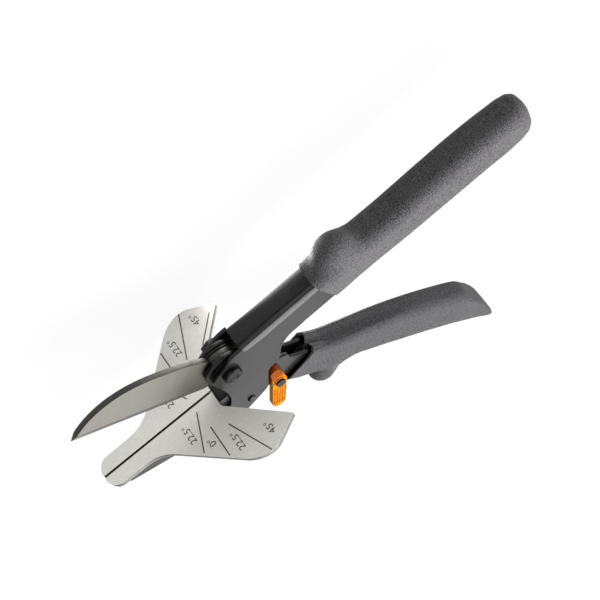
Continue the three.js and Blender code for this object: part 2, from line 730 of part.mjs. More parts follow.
shears.add(
  piece('upper_handle', upperHandle(), blackPaint),
  piece('upper_grip', upperGrip(), vinyl),
  piece('anvil_plate', anvilPlate(), anvilSteel),
  piece('anvil_support', anvilSupport(), blackPaint),
  ...screwPlaces().map((place, i) => piece(`anvil_screw_${i + 1}`, anvilScrew(place), darkSteel)),
  piece('pivot_bolt', pivotBolt(), darkSteel),
  piece('pivot_sleeve', ring(boltRadius + holeGap, sleeveRadius, -anvilInner, anvilInner), zincSteel),
  piece('pivot_washer', ring(boltRadius + holeGap, nutWasherRadius, -nutSeat, -anvilHalf), darkSteel),
  piece('pivot_nut', pivotNut(), darkSteel),
  piece('thrust_washer_left', ring(sleeveRadius + fitGap, washerRadius, washerLow, washerLow + washerThick), zincSteel),
  piece('thrust_washer_right', ring(sleeveRadius + fitGap, washerRadius, -washerLow - washerThick, -washerLow), zincSteel),
  piece('stop_pin', stopPin(), darkSteel),
  piece('catch_bar', catchBar(), darkSteel),
  piece('spring_seat_upper', springSeatUpper(), darkSteel),
  piece('return_spring', returnSpring(), zincSteel),
);

bladeLever.add(
  piece('lower_handle', lowerHandle(), blackPaint),
  piece('lower_grip', lowerGrip(), vinyl),
  piece('blade', blade(), bladeSteel),
  piece('blade_spacer_left', bladeSpacer(1), darkSteel),
  piece('blade_spacer_right', bladeSpacer(-1), darkSteel),
  piece('blade_rivet_front', bar(rivetAX, rivetAY, rivetRadius, -bladeLeverHalf, bladeLeverHalf, smallSides), darkSteel),
  piece('blade_rivet_rear', bar(rivetBX, rivetBY, rivetRadius, -bladeLeverHalf, bladeLeverHalf, smallSides), darkSteel),
  piece('spring_seat_lower', springSeatLower(), darkSteel),
);

latch.position.set(latchX, latchY, 0);
latch.rotation.z = rad(latchSwingDegrees);
latch.add(
  piece('latch_lever', latchLever(), latchPlastic),
  piece('latch_hook', latchHook(), darkSteel),
  piece('latch_pin', latchPin(), darkSteel),
  piece('latch_pin_clip', latchPinClip(), zincSteel),
);
bladeLever.add(latch);

bladeLever.rotation.z = rad(-openDegrees);
shears.add(bladeLever);

// The origin lies at the middle of the whole outline's foot
shears.updateMatrixWorld(true);
const bounds = new THREE.Box3().setFromObject(shears, true);
shears.position.set(-(bounds.min.x + bounds.max.x) / 2, -(bounds.min.y + bounds.max.y) / 2, -bounds.min.z);

export default shears;
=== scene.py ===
"""Dressed model of a pair of mitre shears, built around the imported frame."""
import logging
import math
from dataclasses import dataclass, field
from enum import Enum
from typing import Callable, Sequence

import bpy
import numpy as np
from mathutils import Matrix, Vector

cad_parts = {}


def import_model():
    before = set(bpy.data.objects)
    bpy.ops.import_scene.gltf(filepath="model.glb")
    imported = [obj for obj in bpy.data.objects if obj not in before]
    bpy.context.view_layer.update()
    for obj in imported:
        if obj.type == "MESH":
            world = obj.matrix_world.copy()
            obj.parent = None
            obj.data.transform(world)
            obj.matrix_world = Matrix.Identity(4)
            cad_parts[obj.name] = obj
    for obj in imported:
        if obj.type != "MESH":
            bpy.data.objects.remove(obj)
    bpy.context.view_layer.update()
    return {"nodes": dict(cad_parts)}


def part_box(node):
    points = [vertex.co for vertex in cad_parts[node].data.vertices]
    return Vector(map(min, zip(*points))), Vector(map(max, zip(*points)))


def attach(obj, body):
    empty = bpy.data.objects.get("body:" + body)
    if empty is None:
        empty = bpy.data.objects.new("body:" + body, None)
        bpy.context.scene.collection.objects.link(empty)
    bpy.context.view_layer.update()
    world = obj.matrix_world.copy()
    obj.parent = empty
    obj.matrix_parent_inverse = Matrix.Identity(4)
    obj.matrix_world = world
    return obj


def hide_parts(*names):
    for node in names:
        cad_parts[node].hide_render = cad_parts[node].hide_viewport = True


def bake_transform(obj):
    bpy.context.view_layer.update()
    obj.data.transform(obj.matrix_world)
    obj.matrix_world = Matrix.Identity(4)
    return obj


LOG = logging.getLogger("shears")
MM = 0.001
# Turn of the blade lever's own axes about the pivot while the shears stand open
OPEN_ANGLE = math.radians(-37.0)
# Lean of the upper channel, in degrees
CHANNEL_TILT = 3.0
# The anvil's working face along Y and the near plate's outer face along Z, in millimetres from the pivot
ANVIL_FACE = -15.7
HALF_SHEET = 7.5
# Octaves of a noise, from broad patches to fine clouds
BROAD_DETAIL = 2.0
PLAIN_DETAIL = 3.0
FINE_DETAIL = 4.0
CLOUD_DETAIL = 5.0
# Sockets of the mixing node: its share and two colours, and the colour that comes out
MIX_INPUTS = (0, 6, 7)
MIX_OUTPUT = 2
# Share of a unit normal along an axis from which a face counts as lying flat
FLAT_NORMAL = 0.999
# Joining distance in metres and angles in degrees for the copies with rounded edges
WELD_REACH = 1e-6
FLAT_TURN = 1.0
EDGE_TURN = 28.0

Color = tuple[float, float, float]
Span = tuple[float, float]


class Body(Enum):
    """Rigid bodies of the frame."""

    ANVIL_LEVER = "anvil_lever"
    BLADE_LEVER = "blade_lever"
    LATCH = "latch"


class Slot(Enum):
    """Material slots of the record."""

    BLACK_PAINT = "black_paint"
    GRIP_VINYL = "grip_vinyl"
    ANVIL_STEEL = "anvil_steel"
    BLADE_STEEL = "blade_steel"
    DARK_STEEL = "dark_steel"
    ZINC_STEEL = "zinc_steel"
    LATCH_PLASTIC = "latch_plastic"


class Axis(Enum):
    """Axes of the row frame, by their place in a vector."""

    X = 0
    Y = 1
    Z = 2


# Placing


@dataclass(frozen=True)
class Place:
    """A flat frame about the pivot, turned by an angle, in millimetres."""

    origin: tuple[float, float, float]
    angle: float = 0.0

    def metres(self, points: np.ndarray) -> np.ndarray:
        """Carry points of this frame into the row frame.

        Args:
            points: Array of shape (..., 3) in millimetres.

        Returns:
            Array of the same shape in metres.
        """
        c, s = math.cos(self.angle), math.sin(self.angle)
        turned = points @ np.array([[c, s, 0.0], [-s, c, 0.0], [0.0, 0.0, 1.0]])
        return turned * MM + np.array(self.origin)

    def matrix(self) -> Matrix:
        """Give the same change of frame as a matrix that also scales to metres."""
        return Matrix.Translation(self.origin) @ Matrix.Rotation(self.angle, 4, "Z") @ Matrix.Scale(MM, 4)


def pivot_place(angle: float = 0.0) -> Place:
    """Find the pivot from the frame and give its place.

    Args:
        angle: Turn of the local axes about the pivot, in radians.

    Returns:
        The place with its origin on the pivot axis, halfway through the tool.
    """
    low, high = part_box("pivot_bolt")
    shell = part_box("upper_handle")
    middle = (shell[0][2] + shell[1][2]) / 2
    return Place(((low[0] + high[0]) / 2, (low[1] + high[1]) / 2, middle), angle)


# Nodes of a material


class Shader:
    """Short calls for the nodes of one material."""

    def __init__(self, name: str) -> None:
        """Start an empty material.

        Args:
            name: Name of the material.
        """
        self.material = bpy.data.materials.new(name)
        self.material.use_nodes = True
        self.tree = self.material.node_tree
        self.tree.nodes.clear()
        self.out = self.tree.nodes.new("ShaderNodeOutputMaterial")
        self.coords = self.tree.nodes.new("ShaderNodeTexCoord")

    def node(self, kind: str, inputs: dict[str, object] | None = None, **options: object) -> bpy.types.Node:
        """Add a node.

        Args:
            kind: Blender's type name without its common start.
            inputs: Socket values or links by socket name.
            **options: Properties set on the node.

        Returns:
            The new node.
        """
        made = self.tree.nodes.new("ShaderNode" + kind)
        for key, value in options.items():
            setattr(made, key, value)
        for key, value in (inputs or {}).items():
            socket = made.inputs[int(key) if key.isdigit() else key]
            if isinstance(value, bpy.types.NodeSocket):
                self.tree.links.new(value, socket)
            else:
                socket.default_value = value
        return made

    def mapped(self, scale: Sequence[float] = (1.0, 1.0, 1.0), turn: float = 0.0) -> bpy.types.NodeSocket:
        """Give Object coordinates, turned about Z and scaled.

        Args:
            scale: Factor on each axis.
            turn: Turn about Z in radians.

        Returns:
            The vector socket.
        """
        whole = self.coords.outputs["Object"]
        first = self.node("Mapping", {"Vector": whole, "Rotation": (0.0, 0.0, turn)})
        return self.node("Mapping", {"Vector": first.outputs[0], "Scale": tuple(scale)}).outputs[0]

    def noise(self, vector: bpy.types.NodeSocket, scale: float,
              detail: float = PLAIN_DETAIL) -> bpy.types.NodeSocket:
        """Add a noise and give its value socket."""
        made = self.node("TexNoise", {"Vector": vector, "Scale": scale, "Detail": detail})
        return made.outputs["Fac"]

    def spread(self, value: bpy.types.NodeSocket, low: float, high: float, out_low: float = 0.0,
               out_high: float = 1.0) -> bpy.types.NodeSocket:
        """Map a range of a value onto another, held at its ends."""
        made = self.node("MapRange", {"Value": value, "From Min": low, "From Max": high,
                                      "To Min": out_low, "To Max": out_high})
        return made.outputs[0]

    def mix(self, share: object, first: object, second: object) -> bpy.types.NodeSocket:
        """Blend two colours by a share.

        Args:
            share: Share of the second colour, a number or a link.
            first: Colour or link at a share of zero.
            second: Colour or link at a share of one.

        Returns:
            The colour socket.
        """
        made = self.tree.nodes.new("ShaderNodeMix")
        made.data_type = "RGBA"
        for index, value in zip(MIX_INPUTS, (share, first, second)):
            if isinstance(value, bpy.types.NodeSocket):
                self.tree.links.new(value, made.inputs[index])
            elif index:
                made.inputs[index].default_value = (*value, 1.0)
            else:
                made.inputs[index].default_value = value
        return made.outputs[MIX_OUTPUT]

    def maths(self, kind: str, first: object, second: object = 0.0) -> bpy.types.NodeSocket:
        """Add a sum, product or other plain step."""
        made = self.node("Math", {"0": first, "1": second}, operation=kind)
        return made.outputs[0]

    def finish(self, color: object, roughness: object, normal: bpy.types.NodeSocket | None = None,
               **sockets: object) -> bpy.types.Material:
        """Close the material with its surface.

        Args:
            color: Colour or link for the base.
            roughness: Number or link.
            normal: Link from a bump.
            **sockets: Further values, with _ for a space in the name.

        Returns:
            The material.
        """
        surface = self.node("BsdfPrincipled")
        values = {"Base Color": color, "Roughness": roughness, "Normal": normal}
        values.update({key.replace("_", " "): value for key, value in sockets.items()})
        for key, value in values.items():
            if value is None:
                continue
            if isinstance(value, bpy.types.NodeSocket):
                self.tree.links.new(value, surface.inputs[key])
            elif key == "Base Color":
                surface.inputs[key].default_value = (*value, 1.0)
            else:
                surface.inputs[key].default_value = value
        self.tree.links.new(surface.outputs[0], self.out.inputs["Surface"])
        return self.material

    def bump(self, height: bpy.types.NodeSocket, distance: float,
             strength: float = 1.0) -> bpy.types.NodeSocket:
        """Turn a height into a normal, with the distance in metres."""
        return self.node("Bump", {"Height": height, "Distance": distance, "Strength": strength}).outputs[0]


# Finishes


@dataclass(frozen=True)
class Enamel:
    """Gloss black enamel over pressed steel."""

    name: str = "black_enamel"
    color: Color = (0.006, 0.0056, 0.0055)
    faded: Color = (0.01, 0.0095, 0.009)
    patch_scale: float = 60.0
    patch_range: Span = (0.42, 0.7)
    roughness: float = 0.25
    smoother: float = 0.01
    rougher: float = 0.03
    rough_scale: float = 90.0
    rough_range: Span = (0.3, 0.7)
    peel: float = 0.00003
    peel_scale: float = 900.0
    gloss: float = 0.27

    def build(self) -> bpy.types.Material:
        """Build the enamel with a faint orange-peel and rubbed patches.

        Returns:
            The material.
        """
        shader = Shader(self.name)
        place = shader.mapped()
        patches = shader.spread(shader.noise(place, self.patch_scale, FINE_DETAIL), *self.patch_range)
        rough = shader.spread(shader.noise(place, self.rough_scale, BROAD_DETAIL), *self.rough_range,
                              self.roughness - self.smoother, self.roughness + self.rougher)
        normal = shader.bump(shader.noise(place, self.peel_scale, BROAD_DETAIL), self.peel)
        tone = shader.mix(patches, self.color, self.faded)
        return shader.finish(tone, rough, normal, Specular_IOR_Level=self.gloss)


@dataclass(frozen=True)
class PebbleVinyl:
    """Soft grey vinyl with a fine pebble grain."""

    name: str = "pebble_vinyl"
    color: Color = (0.118, 0.114, 0.118)
    # Painted shade: the dark colour in the gaps between the pebbles
    deep: Color = (0.036, 0.035, 0.037)
    roughness: float = 0.55
    grain: float = 1500.0
    jitter: float = 0.9
    cell_range: Span = (0.1, 0.75)
    wear: float = 0.15
    wear_scale: float = 45.0
    wear_range: Span = (0.35, 0.75)
    relief: float = 0.0002
    relief_share: float = 0.8
    gloss: float = 0.1

    def build(self) -> bpy.types.Material:
        """Build the vinyl: small rounded cells, with painted shade darkening the gaps between them.

        Returns:
            The material.
        """
        shader = Shader(self.name)
        place = shader.mapped()
        cells = shader.node("TexVoronoi", {"Vector": place, "Scale": self.grain, "Randomness": self.jitter})
        # Painted shade: the colour darkens from each cell's middle to the gap at its edge
        dome = shader.spread(cells.outputs["Distance"], *self.cell_range, 1.0, 0.0)
        shade = shader.mix(dome, self.deep, self.color)
        worn = shader.spread(shader.noise(place, self.wear_scale), *self.wear_range, 0.0, self.wear)
        tone = shader.mix(worn, shade, self.color)
        normal = shader.bump(dome, self.relief, self.relief_share)
        return shader.finish(tone, self.roughness, normal, Specular_IOR_Level=self.gloss)


@dataclass(frozen=True)
class Brushed:
    """Bare steel, brushed along one direction."""

    name: str
    color: Color
    dim: Color
    roughness: float
    turn: float = 0.0
    stretch: tuple[float, float, float] = (300.0, 300.0, 300.0)
    depth: float = 0.00001
    metallic: float = 1.0
    streak_range: Span = (0.3, 0.72)
    cloud_scale: float = 38.0
    cloud_range: Span = (0.35, 0.75)
    cloud_share: float = 0.35
    rough_range: Span = (0.3, 0.7)
    smoother: float = 0.04
    rougher: float = 0.08

    def build(self) -> bpy.types.Material:
        """Build the steel: long streaks in tone and height, and clouds in tone and roughness.

        Returns:
            The material.
        """
        shader = Shader(self.name)
        streaks = shader.noise(shader.mapped(self.stretch, self.turn), 1.0, FINE_DETAIL)
        clouds = shader.noise(shader.mapped(), self.cloud_scale, CLOUD_DETAIL)
        base = shader.mix(shader.spread(streaks, *self.streak_range), self.dim, self.color)
        dulled = shader.spread(clouds, *self.cloud_range, 0.0, self.cloud_share)
        soft = shader.mix(dulled, base, self.dim)
        rough = shader.spread(clouds, *self.rough_range,
                              self.roughness - self.smoother, self.roughness + self.rougher)
        return shader.finish(soft, rough, shader.bump(streaks, self.depth), Metallic=self.metallic)


@dataclass(frozen=True)
class Plastic:
    """Smooth moulded plastic in one colour, with a painted shade that darkens the end tucked beside the
    plates.
    """

    name: str = "orange_plastic"
    color: Color = (0.45, 0.15, 0.0015)
    shade: Color = (0.4, 0.11, 0.0015)
    shade_scale: float = 140.0
    shade_range: Span = (0.4, 0.75)
    # Painted shade: the dark red-brown over the latch's nose, and the span along Y where it fades in
    painted_shade: Color = (0.16, 0.034, 0.004)
    painted_shade_range: Span = (0.0155, 0.02)
    ragged_scale: float = 300.0
    ragged_reach: float = 0.002
    texture_scale: float = 2600.0
    texture_depth: float = 0.00002
    roughness: float = 0.5
    gloss: float = 0.03

    def build(self) -> bpy.types.Material:
        """Build the plastic with a fine moulded texture; a painted shade fades in along Y.

        Returns:
            The material.
        """
        shader = Shader(self.name)
        place = shader.mapped()
        patches = shader.spread(shader.noise(place, self.shade_scale), *self.shade_range)
        clean = shader.mix(patches, self.color, self.shade)
        # Painted shade: past a ragged height along Y, the orange turns to the dark red-brown
        along = shader.node("SeparateXYZ", {"0": shader.coords.outputs["Object"]}).outputs["Y"]
        wander = shader.maths("MULTIPLY", shader.noise(place, self.ragged_scale), self.ragged_reach)
        ragged = shader.maths("ADD", along, wander)
        tone = shader.mix(shader.spread(ragged, *self.painted_shade_range), clean, self.painted_shade)
        normal = shader.bump(shader.noise(place, self.texture_scale, BROAD_DETAIL), self.texture_depth)
        return shader.finish(tone, self.roughness, normal, Specular_IOR_Level=self.gloss)


# Meshes


def add_object(name: str, mesh: bpy.types.Mesh, material: bpy.types.Material,
               smooth: bool = True) -> bpy.types.Object:
    """Put a mesh in the scene under a name.

    Args:
        name: Name of the piece.
        mesh: Its mesh, in row-frame metres.
        material: Its finish.
        smooth: Whether its faces are shaded smooth.

    Returns:
        The new object.
    """
    mesh.name = name
    mesh.materials.clear()
    mesh.materials.append(material)
    mesh.polygons.foreach_set("use_smooth", np.full(len(mesh.polygons), smooth))
    made = bpy.data.objects.new(name, mesh)
    bpy.context.scene.collection.objects.link(made)
    return made


def grid_mesh(points: np.ndarray, close_start: bool = True, close_end: bool = True) -> bpy.types.Mesh:
    """Skin rings of points, each ring closed, with a fan at each end.

    Args:
        points: Array of shape (rings, around, 3) in metres.
        close_start: Whether the first ring gets a fan.
        close_end: Whether the last ring gets a fan.

    Returns:
        The mesh with faces turned outwards.
    """
    rings, around = points.shape[:2]
    r = np.arange(rings - 1)[:, None]
    i = np.arange(around)[None, :]
    a = (r * around + i).ravel()
    b = (r * around + (i + 1) % around).ravel()
    quads = np.stack([a, b, b + around, a + around], axis=1)
    verts = points.reshape(-1, 3)
    faces = quads.tolist()
    ends = ((close_start, 0, 1), (close_end, rings - 1, -1))
    for wanted, ring, sense in ends:
        if not wanted:
            continue
        verts = np.vstack([verts, points[ring].mean(axis=0)])
        k = np.arange(around)
        first, second = ring * around + k, ring * around + (k + 1) % around
        pair = (second, first) if sense > 0 else (first, second)
        faces += np.stack([np.full(around, len(verts) - 1), *pair], axis=1).tolist()
    mesh = bpy.data.meshes.new("grid")
    mesh.from_pydata(verts.tolist(), [], faces)
    turn_outwards(mesh)
    return mesh


def turn_outwards(mesh: bpy.types.Mesh) -> None:
    """Flip a closed mesh whose signed volume is negative.

    The volume is the sum over its triangles of corner . (corner x corner), measured from their middle.

    Args:
        mesh: The closed mesh.
    """
    mesh.calc_loop_triangles()
    verts = np.empty(len(mesh.vertices) * 3)
    mesh.vertices.foreach_get("co", verts)
    tris = np.empty(len(mesh.loop_triangles) * 3, dtype=np.int32)
    mesh.loop_triangles.foreach_get("vertices", tris)
    corner = verts.reshape(-1, 3)[tris.reshape(-1, 3)]
    corner = corner - corner.mean(axis=(0, 1))
    volume = np.einsum("ij,ij->i", corner[:, 0], np.cross(corner[:, 1], corner[:, 2])).sum()
    if volume < 0:
        mesh.flip_normals()
    mesh.update()


def turned_mesh(profile: Sequence[Span], place: Place, x: float = 0.0, y: float = 0.0,
                sides: int = 96) -> bpy.types.Mesh:
    """Turn a profile about a line along Z: each ring is radius times (cos a, sin a) at its height.

    Args:
        profile: Radius and height pairs; a first and last radius of zero closes the ends.
        place: Frame of the axis.
        x: Place of the axis along X, in millimetres.
        y: Place of the axis along Y, in millimetres.
        sides: Steps round the axis.

    Returns:
        The closed mesh.
    """
    rows = np.array(profile)
    turn = np.linspace(0.0, 2 * np.pi, sides, endpoint=False)
    radius, height = rows[:, :1], rows[:, 1:]
    points = np.stack([
        x + radius * np.cos(turn), y + radius * np.sin(turn), height + 0.0 * turn,
    ], axis=-1)
    closed = profile[0] == profile[-1]
    return grid_mesh(place.metres(points), not closed, not closed)


def rounded_profile(corners: Sequence[Span], radius: float, steps: int = 5,
                    reach_share: float = 0.45) -> list[Span]:
    """Round the inner corners of a profile with quadratic curves from a point before to a point after each.

    Args:
        corners: Radius and height pairs.
        radius: Reach of each rounding.
        steps: Points on each rounded corner.
        reach_share: Largest share of a side that one rounding may take.

    Returns:
        The longer profile.
    """
    rows = [np.array(c, dtype=float) for c in corners]
    out = [tuple(rows[0])]
    for before, here, after in zip(rows, rows[1:], rows[2:]):
        back, on = before - here, after - here
        reach = min(radius, np.linalg.norm(back) * reach_share, np.linalg.norm(on) * reach_share)
        start = here + back / np.linalg.norm(back) * reach
        end = here + on / np.linalg.norm(on) * reach
        for t in np.linspace(0.0, 1.0, steps):
            out.append(tuple((1 - t) ** 2 * start + 2 * t * (1 - t) * here + t ** 2 * end))
    out.append(tuple(rows[-1]))
    return out


def flatten_plates(mesh: bpy.types.Mesh) -> None:
    """Shade the faces that look straight along an axis flat, so that no edge's shading runs into a plate.

    Args:
        mesh: The mesh of a pressed or ground plate.
    """
    normals = np.empty(len(mesh.polygons) * 3)
    mesh.polygons.foreach_get("normal", normals)
    mesh.polygons.foreach_set("use_smooth", np.abs(normals.reshape(-1, 3)).max(axis=1) < FLAT_NORMAL)


def paint_sides(mesh: bpy.types.Mesh, material: bpy.types.Material, axis: Axis,
                under: bpy.types.Material | None = None, limit: float = 0.6) -> None:
    """Give a second finish to a plate's narrow faces, and perhaps a third to its underside.

    Args:
        mesh: The plate's mesh.
        material: Finish of the faces on edge, whose normal has less than the limit along the axis.
        axis: Axis of the plate's thickness.
        under: Finish of the faces that look down that axis.
        limit: The share of the normal that parts the edges from the faces.
    """
    normals = np.empty(len(mesh.polygons) * 3)
    mesh.polygons.foreach_get("normal", normals)
    lean = normals.reshape(-1, 3)[:, axis.value]
    on_edge = np.abs(lean) < limit
    index = np.where(on_edge, 1, 0)
    mesh.materials.append(material)
    if under is not None:
        mesh.materials.append(under)
        index = np.where(lean <= -limit, 2, index)
    mesh.polygons.foreach_set("material_index", index)
    mesh.polygons.foreach_set("use_smooth", on_edge)


def crisp_copy(node: str, name: str, material: bpy.types.Material, bevel: float,
               segments: int = 3) -> bpy.types.Object:
    """Copy a node's mesh, join its loose faces, clear the flat ones and round its edges.

    Args:
        node: Name of the node.
        name: Name of the new piece.
        material: Its finish.
        bevel: Width of the rounded edges in metres.
        segments: Steps over each rounded edge.

    Returns:
        The new piece, which replaces the node.
    """
    mesh = bpy.data.objects[node].data.copy()
    made = add_object(name, mesh, material)
    flatten_plates(mesh)
    weld = made.modifiers.new("weld", "WELD")
    weld.merge_threshold = WELD_REACH
    flat = made.modifiers.new("flat", "DECIMATE")
    flat.decimate_type = "DISSOLVE"
    flat.angle_limit = math.radians(FLAT_TURN)
    edge = made.modifiers.new("edge", "BEVEL")
    edge.width = bevel
    edge.segments = segments
    edge.limit_method = "ANGLE"
    edge.angle_limit = math.radians(EDGE_TURN)
    edge.miter_outer = "MITER_ARC"
    edge.harden_normals = True
    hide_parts(node)
    return made


# Smooth tables


def smooth_rows(table: np.ndarray, t: np.ndarray) -> np.ndarray:
    """Read a table of shares at many places on a smooth curve through its rows.

    Each column follows a Hermite cubic whose slopes are the central differences of the rows.

    Args:
        table: Rows of [share, value, ...], the shares rising from 0 to 1.
        t: Places from 0 to 1.

    Returns:
        One row of values for each place.
    """
    at = table[:, 0]
    slope = np.gradient(table[:, 1:], at, axis=0)
    k = np.clip(np.searchsorted(at, t, side="right") - 1, 0, len(at) - 2)
    width = (at[k + 1] - at[k])[:, None]
    w = ((t - at[k])[:, None]) / width
    a, b = table[k, 1:], table[k + 1, 1:]
    return ((2 * w ** 3 - 3 * w ** 2 + 1) * a + (w ** 3 - 2 * w ** 2 + w) * width * slope[k]
            + (3 * w ** 2 - 2 * w ** 3) * b + (w ** 3 - w ** 2) * width * slope[k + 1])


@dataclass(frozen=True)
class Ball:
    """An ellipsoid that swells a grip, in the grip's own frame."""

    x: float
    y: float
    long: float
    high: float
    wide: float

    def distance(self, points: np.ndarray) -> np.ndarray:
        """Give the distance from the ball, nearly: its smallest half axis times (scaled radius - 1)."""
        scaled = (points - np.array([self.x, self.y, 0.0])) / np.array([self.long, self.high, self.wide])
        return (np.linalg.norm(scaled, axis=-1) - 1.0) * min(self.long, self.high, self.wide)


def soft_union(first: np.ndarray, second: np.ndarray, blend: float) -> np.ndarray:
    """Join two distance fields: the lesser of both, less a rounding where they are near each other."""
    share = np.clip(0.5 + 0.5 * (second - first) / blend, 0, 1)
    return second + (first - second) * share - blend * share * (1 - share)


@dataclass
class Grip:
    """A moulded grip: rounded sections along a lever, swollen by balls, with an open front."""

    name: str
    node: str
    body: Body
    place: Place
    front: float
    end: float
    half: float
    deep: float
    rise: float
    tilt: float
    table: list[tuple[float, ...]]
    balls: list[Ball]
    blend: float
    around: int = 128
    along: int = 150
    reach: float = 34.0
    probes: int = 70
    wall: float = 1.3
    # The valley's half width and the largest corner, as shares of the half width and of the side
    valley_share: float = 0.62
    corner_share: float = 0.98
    # Extra rings over each ball, how far they reach past it, and rings that crowd towards the end
    ball_rings: int = 61
    ball_reach_share: float = 1.3
    end_rings: int = 26
    end_shares: Span = (1e-4, 0.06)
    # Depths of the rim's rounding, then where the wall inside the mouth starts and ends along the grip
    rim_depths: Span = (0.12, 0.4)
    rim_wall_share: float = 0.8
    inside_shares: Span = (0.02, 0.16)
    inside_rings: int = 6

    def points(self, rows: np.ndarray, t: np.ndarray, z: np.ndarray, y: np.ndarray) -> np.ndarray:
        """Place section coordinates in the grip's frame, each section leaning by its own angle.

        Args:
            rows: Table rows at the shares.
            t: Shares of the length.
            z: Offsets across the grip.
            y: Offsets up the section.

        Returns:
            Points of the grip's frame with a last axis of three.
        """
        shape = (-1,) + (1,) * (y.ndim - 1)
        lean = np.radians(rows[:, 6]).reshape(shape)
        x0 = (self.front + (self.end - self.front) * t).reshape(shape)
        centre = (self.rise + rows[:, 0] * self.deep).reshape(shape)
        return np.stack([x0 - y * np.sin(lean), centre + y * np.cos(lean), -z], axis=-1)

    def field(self, rows: np.ndarray, t: np.ndarray, z: np.ndarray, y: np.ndarray) -> np.ndarray:
        """Give the distance from the grip's skin in each section.

        The section is a rectangle with round corners: |q| - radius, where q is how far a point lies beyond
        the corner's centre. A valley lowers its open side by a share that falls off from the middle.

        Args:
            rows: Table rows at the shares.
            t: Shares of the length.
            z: Offsets across the grip.
            y: Offsets up the section.

        Returns:
            Distances in millimetres, below zero inside.
        """
        shape = (-1,) + (1,) * (y.ndim - 1)
        _, up, down, wide, corner, foot_corner, _, valley = (rows[:, k].reshape(shape) for k in range(8))
        half = wide * self.half
        fall = np.clip(1 - (z / (half * self.valley_share)) ** 2, 0, 1)
        lifted = y + np.where(y > 0, valley * self.deep * fall, 0)
        above = lifted > 0
        side = np.where(above, up, down) * self.deep
        radius = np.minimum(np.where(above, corner, foot_corner) * half, side * self.corner_share)
        over_z = np.abs(z) - half + radius
        over_y = np.abs(lifted) - side + radius
        outside = np.hypot(np.maximum(over_z, 0), np.maximum(over_y, 0))
        found = outside + np.minimum(np.maximum(over_z, over_y), 0) - radius
        for ball in self.balls:
            found = soft_union(found, ball.distance(self.points(rows, t, z, y)), self.blend)
        return found

    def sections(self, t: np.ndarray, inset: float = 0.0) -> np.ndarray:
        """Work out the rings: on each ray from a section's middle, the last place inside the skin.

        Args:
            t: Shares of the length.
            inset: Wall thickness to shrink by, in millimetres.

        Returns:
            Points of shape (len(t), around, 3) in millimetres.
        """
        rows = smooth_rows(np.array(self.table), t)
        turn = np.linspace(0, 2 * np.pi, self.around, endpoint=False)[None, :, None]
        turn = turn + np.pi / self.around
        step = self.reach / self.probes
        reach = np.linspace(step, self.reach, self.probes)[None, None, :] + 0 * turn + 0 * t[:, None, None]
        value = self.field(rows, t, reach * np.cos(turn), reach * np.sin(turn))
        last = self.probes - 1 - np.argmax(value[..., ::-1] < 0, axis=-1)
        last = np.minimum(last, self.probes - 2)[..., None]
        near, far = np.take_along_axis(value, last, -1), np.take_along_axis(value, last + 1, -1)
        radius = np.take_along_axis(reach, last, -1) + step * near / (near - far)
        radius = radius[..., 0] - inset
        flat = turn[..., 0]
        found = self.points(rows, t, radius * np.cos(flat), radius * np.sin(flat))
        c, s = math.cos(math.radians(self.tilt)), math.sin(math.radians(self.tilt))
        return found @ np.array([[c, s, 0.0], [-s, c, 0.0], [0.0, 0.0, 1.0]])

    def shares(self) -> np.ndarray:
        """Give places along the grip, closer together at the balls and at the rounded end.

        Returns:
            Rising shares of the length, from 0 to 1.
        """
        length = self.end - self.front
        swing = np.cos(np.linspace(0, np.pi, self.ball_rings))
        waves = [(ball.x - self.front + ball.long * self.ball_reach_share * swing) / length
                 for ball in self.balls]
        end = 1 - np.geomspace(*self.end_shares, self.end_rings)
        return np.unique(np.clip(np.concatenate([np.linspace(0, 1, self.along), *waves, end]), 0, 1))

    def build(self, material: bpy.types.Material) -> bpy.types.Object:
        """Build the grip, its rim and the wall inside it.

        Args:
            material: Finish of the grip.

        Returns:
            The piece.
        """
        outside = self.sections(self.shares()[::-1])
        start = np.zeros(1)
        depths = (*self.rim_depths, self.wall * self.rim_wall_share)
        rims = [self.sections(start, depth)[0] for depth in depths]
        inside = self.sections(np.linspace(*self.inside_shares, self.inside_rings), self.wall)
        points = np.concatenate([outside, np.array(rims), inside])
        made = add_object(self.name, grid_mesh(self.place.metres(points)), material)
        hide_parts(self.node)
        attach(made, self.body.value)
        return made


# Share of the length, centre, up, down, half, upper corner, lower corner, lean in degrees, valley
UPPER_SHARES = [
    (0, 0.06, 0.89, 0.94, 0.96, 0.7, 0.5, 12, 0), (0.03, 0.06, 0.91, 0.94, 0.97, 0.7, 0.5, 12, 0),
    (0.1, 0.06, 0.93, 0.94, 0.97, 0.71, 0.56, 9, 0), (0.2, 0.01, 0.94, 0.94, 0.97, 0.72, 0.66, 4, 0),
    (0.35, -0.07, 0.96, 0.96, 0.98, 0.73, 0.73, 0, 0), (0.55, -0.06, 0.98, 0.98, 1, 0.73, 0.73, 0, 0),
    (0.75, -0.07, 0.99, 0.99, 1, 0.73, 0.73, 0, 0), (0.88, -0.15, 0.97, 0.96, 0.99, 0.76, 0.76, -2, 0),
    (0.94, -0.16, 0.92, 0.9, 0.95, 0.8, 0.8, -5, 0), (0.975, -0.14, 0.78, 0.77, 0.83, 0.85, 0.85, -7, 0),
    (0.993, -0.12, 0.54, 0.53, 0.58, 0.9, 0.9, -8, 0), (1, -0.11, 0.28, 0.28, 0.3, 0.95, 0.95, -8, 0),
]
